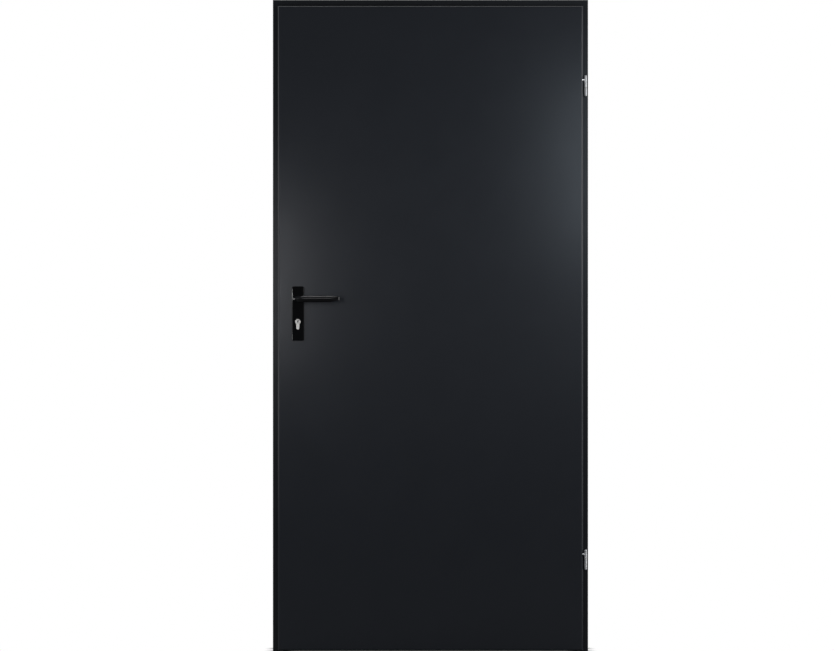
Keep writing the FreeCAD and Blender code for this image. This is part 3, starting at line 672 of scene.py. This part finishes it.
def plate_rings(box, outward):
    """Rings of a plate with rounded corners and a soft edge, from its seat to its face."""
    low, high = box
    seat = outer_face(box, -outward)
    depth = abs(outer_face(box, outward) - seat)
    levels = [(0.0, 0.0)]
    for angle in quarter_turn(EDGE_STEPS):
        levels.append((PLATE_EDGE * (1 - math.cos(angle)), depth - PLATE_EDGE * (1 - math.sin(angle))))
    rings = []
    for inset, out in levels:
        left, right, foot, top = low.x + inset, high.x - inset, low.z + inset, high.z - inset
        radius = max(PLATE_CORNER - inset, SMALLEST_CORNER)
        outline = rounded([(left, foot), (right, foot), (right, top), (left, top)], [radius] * 4)
        rings.append([Vector((x, seat + outward * out, z)) for x, z in outline])
    return rings


def cylinder_outline(room=0.0):
    """Outline of a profile cylinder: a round head on a stem with a round foot, across and up."""
    head = CYLINDER_HEAD / 2 + room
    stem = CYLINDER_STEM / 2 + room
    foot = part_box("lock_cylinder")[0].z - room + stem
    meets = math.asin(stem / head)
    outline = []
    for step in range(CYLINDER_STEPS + 1):
        angle = -math.pi / 2 + meets + (2 * math.pi - 2 * meets) * step / CYLINDER_STEPS
        outline.append((PLUG_AXIS.x + head * math.cos(angle), PLUG_AXIS.z + head * math.sin(angle)))
    foot_steps = CYLINDER_STEPS // 2
    for step in range(foot_steps + 1):
        angle = math.pi + math.pi * step / foot_steps
        outline.append((PLUG_AXIS.x + stem * math.cos(angle), foot + stem * math.sin(angle)))
    return outline


def prism(name, outline, start, end):
    """Straight bar along Y with a flat outline across and up."""
    shape = bmesh.new()
    skin(shape, [[Vector((x, y, z)) for x, z in outline] for y in (start, end)])
    return new_object(name, shape)


def round_bar(name, axis, radius, start, end):
    """Round bar along Y."""
    turns = [2 * math.pi * step / TURN_STEPS for step in range(TURN_STEPS)]
    outline = [(axis.x + radius * math.cos(turn), axis.z + radius * math.sin(turn)) for turn in turns]
    return prism(name, outline, start, end)


def make_plate(side, outward):
    """Handle plate, pierced for the lever's collar and the lock cylinder."""
    name = f"{side}_handle_plate"
    low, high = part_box(name)
    shape = bmesh.new()
    skin(shape, plate_rings((low, high), outward))
    plate = new_object(name + "_moulding", shape)
    start, end = low.y - PLATE_CUT_PAST, high.y + PLATE_CUT_PAST
    carve(plate, round_bar("bearing_cutter", LEVER_AXIS, COLLAR_RADIUS + COLLAR_ROOM, start, end))
    carve(plate, prism("cylinder_cutter", cylinder_outline(CYLINDER_ROOM), start, end))
    dress(plate, "leaf", "handle_plastic", (name,))


def make_cylinder_body():
    """Lock cylinder with a rounded rim at both ends, bored for its two plugs."""
    low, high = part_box("lock_cylinder")
    middle = Vector((PLUG_AXIS.x, PLUG_AXIS.z - CYLINDER_MIDDLE_DROP))
    outline = [Vector(point) for point in cylinder_outline()]
    rings = []
    for end, inward in ((low.y, 1), (high.y, -1)):
        rim = []
        for angle in quarter_turn(RIM_STEPS):
            inset = CYLINDER_RIM * (1 - math.sin(angle))
            depth = CYLINDER_RIM * (1 - math.cos(angle))
            ring = []
            for point in outline:
                spoke = point - middle
                flat = middle + spoke * (1 - inset / spoke.length)
                ring.append(Vector((flat.x, end + inward * depth, flat.y)))
            rim.append(ring)
        rings += rim if inward > 0 else rim[::-1]
    shape = bmesh.new()
    skin(shape, rings)
    body = new_object("lock_cylinder_body", shape)
    front, back = low.y - BORE_PAST, high.y + BORE_PAST
    carve(body, round_bar("bore_cutter", PLUG_AXIS, PLUG_RADIUS + PLUG_ROOM, front, back))
    dress(body, "leaf", "cylinder_nickel", ("lock_cylinder",))


def make_plug(side, outward):
    """Turned plug of the lock cylinder, with its keyway."""
    name = f"{side}_cylinder_plug"
    low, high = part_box(name)
    face = outer_face((low, high), outward)
    depth = high.y - low.y
    turned = rounded(
        [(0, -depth), (PLUG_RADIUS, -depth), (PLUG_RADIUS, 0), (0, 0)],
        [0, PLUG_FOOT_ROUND, PLUG_RIM, 0], RIM_STEPS,
    )
    shape = bmesh.new()
    lathe(shape, turned, Vector((PLUG_AXIS.x, face, PLUG_AXIS.z)), along_y(outward))
    plug = new_object(name + "_turned", shape)
    keyway = [(PLUG_AXIS.x + x * MM, PLUG_AXIS.z + KEYWAY_RISE + z * MM) for x, z in KEYWAY]
    carve(plug, prism("key_cutter", keyway, face - outward * KEY_DEPTH, face + outward * BORE_PAST))
    dress(plug, "leaf", "cylinder_nickel", (name,))


def add_shank(shape, root, reach, turn):
    """Plain round shank with a soft end, from a point inside its barrel."""
    outline = rounded(
        [(0, 0), (SHANK_RADIUS, 0), (SHANK_RADIUS, reach), (0, reach)],
        [0, 0, SHANK_ROUND, 0], SHANK_END_STEPS,
    )
    lathe(shape, outline, root, turn, SHANK_STEPS)


def knuckle_outline(height, closed_below):
    """Outline of a bored barrel: a soft cap with a seam at its closed end, a small lip at the other."""
    points = [
        (0, 0),
        (BARREL_RADIUS, 0),
        (BARREL_RADIUS, BARREL_CAP),
        (BARREL_RADIUS - CAP_SEAM, BARREL_CAP + CAP_SEAM / 2),
        (BARREL_RADIUS, BARREL_CAP + CAP_SEAM),
        (BARREL_RADIUS, height),
        (BARREL_BORE, height),
        (BARREL_BORE, BARREL_CAP),
        (0, BARREL_CAP),
    ]
    radii = [0, BARREL_ROUND, *[SEAM_ROUND] * 3, BARREL_LIP, BORE_ROUND, 0, 0]
    outline = rounded(points, radii, BARREL_STEPS)
    if closed_below:
        return outline
    return [(radius, height - rise) for radius, rise in outline]


def make_frame_knuckle(hinge, axis):
    """Lower knuckle of a hinge, whose shank runs back into the frame."""
    name = f"{hinge}_hinge_frame_knuckle"
    low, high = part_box(name)
    shape = bmesh.new()
    lathe(shape, knuckle_outline(high.z - low.z, True), Vector((axis.x, axis.y, low.z)))
    root = Vector((axis.x, axis.y + BARREL_RADIUS - SHANK_ROOT, low.z + SHANK_RISE))
    add_shank(shape, root, high.y - root.y, along_y(1))
    dress(new_object(name + "_turned", shape), "frame", "hinge_zinc", (name,))


def make_leaf_knuckle(hinge, axis):
    """Upper knuckle of a hinge, whose shank runs sideways into the leaf."""
    name = f"{hinge}_hinge_leaf_knuckle"
    low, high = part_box(name)
    shape = bmesh.new()
    lathe(shape, knuckle_outline(high.z - low.z, False), Vector((axis.x, axis.y, low.z)))
    root = Vector((axis.x - BARREL_RADIUS + SHANK_ROOT, axis.y, high.z - SHANK_DROP))
    add_shank(shape, root, root.x - low.x, TO_LOCK_SIDE)
    dress(new_object(name + "_turned", shape), "leaf", "hinge_zinc", (name,))


def make_bearing_ring(hinge, axis):
    """Ring between the two knuckles of a hinge."""
    name = f"{hinge}_hinge_ring"
    low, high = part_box(name)
    radius = (high.x - low.x) / 2
    height = high.z - low.z
    washer = rounded(
        [(BARREL_BORE, 0), (radius, 0), (radius, height), (BARREL_BORE, height)],
        [RING_BORE_ROUND, RING_ROUND, RING_ROUND, RING_BORE_ROUND], BARREL_STEPS,
    )
    shape = bmesh.new()
    lathe(shape, washer, Vector((axis.x, axis.y, low.z)))
    dress(new_object(name + "_turned", shape), "frame", "hinge_ring", (name,))


def make_hinge(hinge):
    """One hinge: turned knuckles with their shanks, and the bearing ring between them."""
    low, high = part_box(f"{hinge}_hinge_ring")
    axis = (low + high) / 2
    make_frame_knuckle(hinge, axis)
    make_leaf_knuckle(hinge, axis)
    make_bearing_ring(hinge, axis)


def make_screw(name, place, turn, body):
    """Raised countersunk screw head with a cross recess."""
    dome = [(0, -SCREW_ROOT), (SCREW_RADIUS - SCREW_TAPER, -SCREW_ROOT), (SCREW_RADIUS, -SCREW_BRIM)]
    for step in range(EDGE_STEPS + 1):
        share = step / EDGE_STEPS
        dome.append((SCREW_RADIUS * (1 - share), SCREW_BRIM + SCREW_DOME * (1 - (1 - share) ** 2)))
    shape = bmesh.new()
    lathe(shape, dome, place, turn, SCREW_STEPS)
    screw = new_object(name, shape)
    for across, along in ((SLOT_WIDTH, SLOT_LENGTH), (SLOT_LENGTH, SLOT_WIDTH)):
        side, end = across / 2, along / 2
        corners = [(-side, -end), (side, -end), (side, end), (-side, end)]
        rings = []
        for level, share in ((-SLOT_DEPTH, SLOT_FLOOR_SHARE), (SLOT_CUT_PAST, 1.0)):
            rings.append([place + turn @ Vector((x * share, y * share, level)) for x, y in corners])
        slot = bmesh.new()
        skin(slot, rings)
        carve(screw, new_object("slot_cutter", slot))
    dress(screw, body, "lock_steel")


def make_screws():
    """Screws of the back plate and of the lock's forend."""
    low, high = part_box("back_handle_plate")
    for label, height in (("upper", high.z - PLATE_SCREW_INSET), ("lower", low.z + PLATE_SCREW_INSET)):
        place = Vector((LEVER_AXIS.x, high.y - SCREW_SEAT, height))
        make_screw(f"back_plate_{label}_screw", place, along_y(1), "leaf")
    low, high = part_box("lock_forend")
    middle = (low + high) / 2
    for label, height in (("upper", high.z - FOREND_SCREW_INSET), ("lower", low.z + FOREND_SCREW_INSET)):
        place = Vector((low.x + SCREW_SEAT, middle.y, height))
        make_screw(f"forend_{label}_screw", place, TO_LOCK_SIDE, "leaf")


def make_camera():
    """Straight on, from far off, with the door where the picture has it."""
    low, high = CAD_BOX
    pixel = (high.x - low.x) / (DOOR_RIGHT_PIXEL - DOOR_LEFT_PIXEL)
    camera = bpy.data.cameras.new("camera")
    holder = bpy.data.objects.new("camera", camera)
    bpy.context.scene.collection.objects.link(holder)
    face_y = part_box("frame_head")[0].y
    side = low.x + (IMAGE_WIDTH / 2 - DOOR_LEFT_PIXEL) * pixel
    holder.location = (side, face_y - CAMERA_DISTANCE, LOWEST_SEEN + IMAGE_HEIGHT / 2 * pixel)
    holder.rotation_euler = (math.radians(90), 0, 0)
    camera.sensor_width = SENSOR
    camera.lens = SENSOR * CAMERA_DISTANCE / (IMAGE_WIDTH * pixel)
    camera.clip_end = CAMERA_REACH
    bpy.context.scene.camera = holder


def link_light(light, names, state):
    """Let a light fall on the named pieces only, or on all but them."""
    group = bpy.data.collections.new(light.name + "_pieces")
    for name in names:
        group.objects.link(bpy.data.objects[name])
    for member in group.collection_objects:
        member.light_linking.link_state = state
    light.light_linking.receiver_collection = group


def soft_light(name, place, target, size, radiance, tint=WHITE, only=(), spared=()):
    """Rectangular soft light of a given brightness and tint, turned to a target.

    It falls on all pieces, on the named ones only, or on all but those that are spared.
    """
    light = bpy.data.lights.new(name, "AREA")
    light.shape = "RECTANGLE"
    light.color = tint
    light.size, light.size_y = size
    light.energy = radiance * math.pi * size[0] * size[1]
    holder = bpy.data.objects.new(name, light)
    holder.location = place
    holder.rotation_euler = (Vector(target) - Vector(place)).to_track_quat("-Z", "Y").to_euler()
    holder.visible_camera = False
    bpy.context.scene.collection.objects.link(holder)
    if only:
        link_light(holder, only, "INCLUDE")
    if spared:
        link_light(holder, spared, "EXCLUDE")


def background(tree, colour, strength):
    """Background shader of a world."""
    node = tree.nodes.new("ShaderNodeBackground")
    node.inputs["Color"].default_value = (*colour, 1)
    node.inputs["Strength"].default_value = strength
    return node.outputs[0]


def seen_and_lit(tree, lit, seen):
    """One shader for what the eye sees and another for what lights and mirrors."""
    path = tree.nodes.new("ShaderNodeLightPath")
    mix = tree.nodes.new("ShaderNodeMixShader")
    tree.links.new(path.outputs["Is Camera Ray"], mix.inputs["Fac"])
    tree.links.new(lit, mix.inputs[1])
    tree.links.new(seen, mix.inputs[2])
    return mix.outputs[0]


def make_world():
    """White surroundings for the eye and dim ones for the shine."""
    world = bpy.data.worlds.new("studio")
    world.use_nodes = True
    bpy.context.scene.world = world
    tree = world.node_tree
    tree.nodes.clear()
    out = tree.nodes.new("ShaderNodeOutputWorld")
    dim = background(tree, DIM_SKY, DIM_STRENGTH)
    white = background(tree, WHITE, 1.0)
    tree.links.new(seen_and_lit(tree, dim, white), out.inputs["Surface"])


def make_floor():
    """Plain pale floor that melts into the white surroundings, with a soft shade where the door stands."""
    low, high = CAD_BOX
    middle = ((low.x + high.x) / 2, 0, -FLOOR_DROP)
    bpy.ops.mesh.primitive_circle_add(
        vertices=FLOOR_STEPS, radius=FLOOR_RADIUS, fill_type="NGON", location=middle,
    )
    floor = bpy.context.object
    floor.name = "floor"
    pale = bpy.data.materials.new("pale_floor")
    pale.use_nodes = True
    tree = pale.node_tree
    tree.nodes.clear()
    out = tree.nodes.new("ShaderNodeOutputMaterial")
    lit = tree.nodes.new("ShaderNodeBsdfDiffuse")
    lit.inputs["Color"].default_value = (*FLOOR_GREY, 1)
    near = tree.nodes.new("ShaderNodeAmbientOcclusion")
    near.inputs["Distance"].default_value = CONTACT_REACH
    deeper = tree.nodes.new("ShaderNodeGamma")
    deeper.inputs["Gamma"].default_value = CONTACT_DEEPER
    tree.links.new(near.outputs["Color"], deeper.inputs["Color"])
    glow = tree.nodes.new("ShaderNodeEmission")
    tree.links.new(deeper.outputs["Color"], glow.inputs["Color"])
    tree.links.new(seen_and_lit(tree, lit.outputs[0], glow.outputs[0]), out.inputs["Surface"])
    floor.data.materials.append(pale)


# Pieces that some lights fall on alone, or spare
PLATE = ["front_handle_plate_moulding"]
LEVER = ["front_lever_grip"]
CYLINDER = ["lock_cylinder_body", "front_cylinder_plug_turned"]
KNUCKLES = ["upper_hinge_leaf_knuckle_turned", "lower_hinge_leaf_knuckle_turned"]
HINGES = [f"{hinge}_hinge_{part}_turned" for hinge in ("upper", "lower") for part in HINGE_PARTS]


def light_paint():
    """Small lights that glow in the leaf, and panels that show in its edges and in the frame."""
    soft_light("left_glow", place=(-1.185, -1.40, 1.213), target=(-1.06, 0, 1.20), size=(0.20, 0.50),
               radiance=5.8, tint=COOL_LEFT, spared=PLATE + LEVER)
    soft_light("right_glow", place=(0.170, -1.40, 1.634), target=(0.03, 0, 1.60), size=(0.24, 0.62),
               radiance=4.2, tint=COOL_RIGHT, spared=PLATE + LEVER + HINGES)
    soft_light("right_tail", place=(0.143, -1.40, 1.12), target=(0.03, 0, 1.10), size=(0.30, 0.60),
               radiance=0.3, tint=COOL_RIGHT, spared=PLATE + LEVER)
    soft_light("middle", place=(-0.5, -2.5, 1.15), target=(-0.5, 0, 1.1), size=(1.6, 1.0),
               radiance=0.06, spared=PLATE + LEVER)
    soft_light("top", place=(-0.5, 0.8, 4.2), target=(-0.5, 0, 1.2), size=(3.0, 2.4),
               radiance=1.1, spared=PLATE + LEVER)
    soft_light("left_panel", place=(-3.4, -2.6, 1.1), target=(-0.5, 0, 1.0), size=(2.0, 2.6), radiance=0.5)
    soft_light("right_panel", place=(2.4, -2.6, 1.1), target=(-0.5, 0, 1.0), size=(2.0, 2.6), radiance=1.0)
    soft_light("left_side", place=(-2.7, 0.5, 1.62), target=(-0.9, -0.05, 1.4), size=(1.2, 2.4), radiance=1.2)
    soft_light("right_side", place=(1.7, 0.5, 1.4), target=(-0.1, -0.05, 1.3), size=(1.2, 2.8), radiance=1.1)
    soft_light("left_wing", place=(-2.1, -0.9, 1.15), target=(-0.98, -0.03, 1.1), size=(0.7, 0.9),
               radiance=1.6)
    soft_light("right_wing", place=(1.1, -0.9, 1.65), target=(-0.02, -0.03, 1.55), size=(0.7, 1.0),
               radiance=4.0, spared=HINGES)
    soft_light("behind", place=(-0.5, 5.0, 2.6), target=(-0.5, 0, 1.0), size=(4.0, 2.0), radiance=1.6)
    soft_light("back_left", place=(0.25, 1.7, 1.75), target=(-0.1, 0, 1.6), size=(0.35, 0.7), radiance=4.0)
    soft_light("back_right", place=(-1.3, 1.7, 1.25), target=(-0.9, 0, 1.2), size=(0.35, 0.7), radiance=5.0)


def light_fittings():
    """Sharper lights that fall on the front lever, its plate, the hinges or the lock cylinder only."""
    soft_light("handle_side", place=(-2.6, 1.1, 0.65), target=(-0.93, -0.09, 1.12), size=(1.4, 1.2),
               radiance=8.0, only=LEVER)
    soft_light("handle_top", place=(-0.86, -0.13, 3.1), target=(-0.86, -0.08, 1.12), size=(1.0, 0.16),
               radiance=58.0, only=LEVER)
    soft_light("ridge", place=(-0.3, -3.0, 2.85), target=(-0.86, -0.08, 1.12), size=(2.5, 1.2),
               radiance=13.0, only=LEVER)
    soft_light("tip_side", place=(1.6, -0.75, 1.25), target=(-0.80, -0.08, 1.12), size=(1.0, 0.9),
               radiance=20.0, only=LEVER)
    soft_light("plate_edge", place=(-2.2, -0.45, 1.150), target=(-0.94, -0.04, 1.134), size=(0.9, 0.02),
               radiance=58.0, only=PLATE)
    soft_light("plate_foot", place=(-2.2, -0.45, 0.981), target=(-0.94, -0.04, 0.988), size=(0.9, 0.01),
               radiance=50.0, only=PLATE)
    soft_light("knuckle_top", place=(0.3, -2.0, 3.1), target=(-0.02, -0.02, 1.5), size=(0.8, 0.8),
               radiance=13.0, only=KNUCKLES)
    soft_light("hinge_side", place=(1.4, -1.0, 1.2), target=(-0.01, -0.02, 1.1), size=(0.7, 2.4),
               radiance=1.4, only=HINGES)
    soft_light("cylinder_front", place=(-1.6, -2.4, 1.3), target=(-0.92, -0.05, 1.05), size=(0.8, 0.8),
               radiance=0.8, only=CYLINDER)


for label, facing in FACES:
    make_plate(label, facing)
    make_lever(label, facing)
make_cylinder_body()
for label, facing in FACES:
    make_plug(label, facing)
for label in ("upper", "lower"):
    make_hinge(label)
make_screws()

make_camera()
make_world()
make_floor()
light_paint()
light_fittings()
bpy.context.scene.view_settings.view_transform = "Standard"
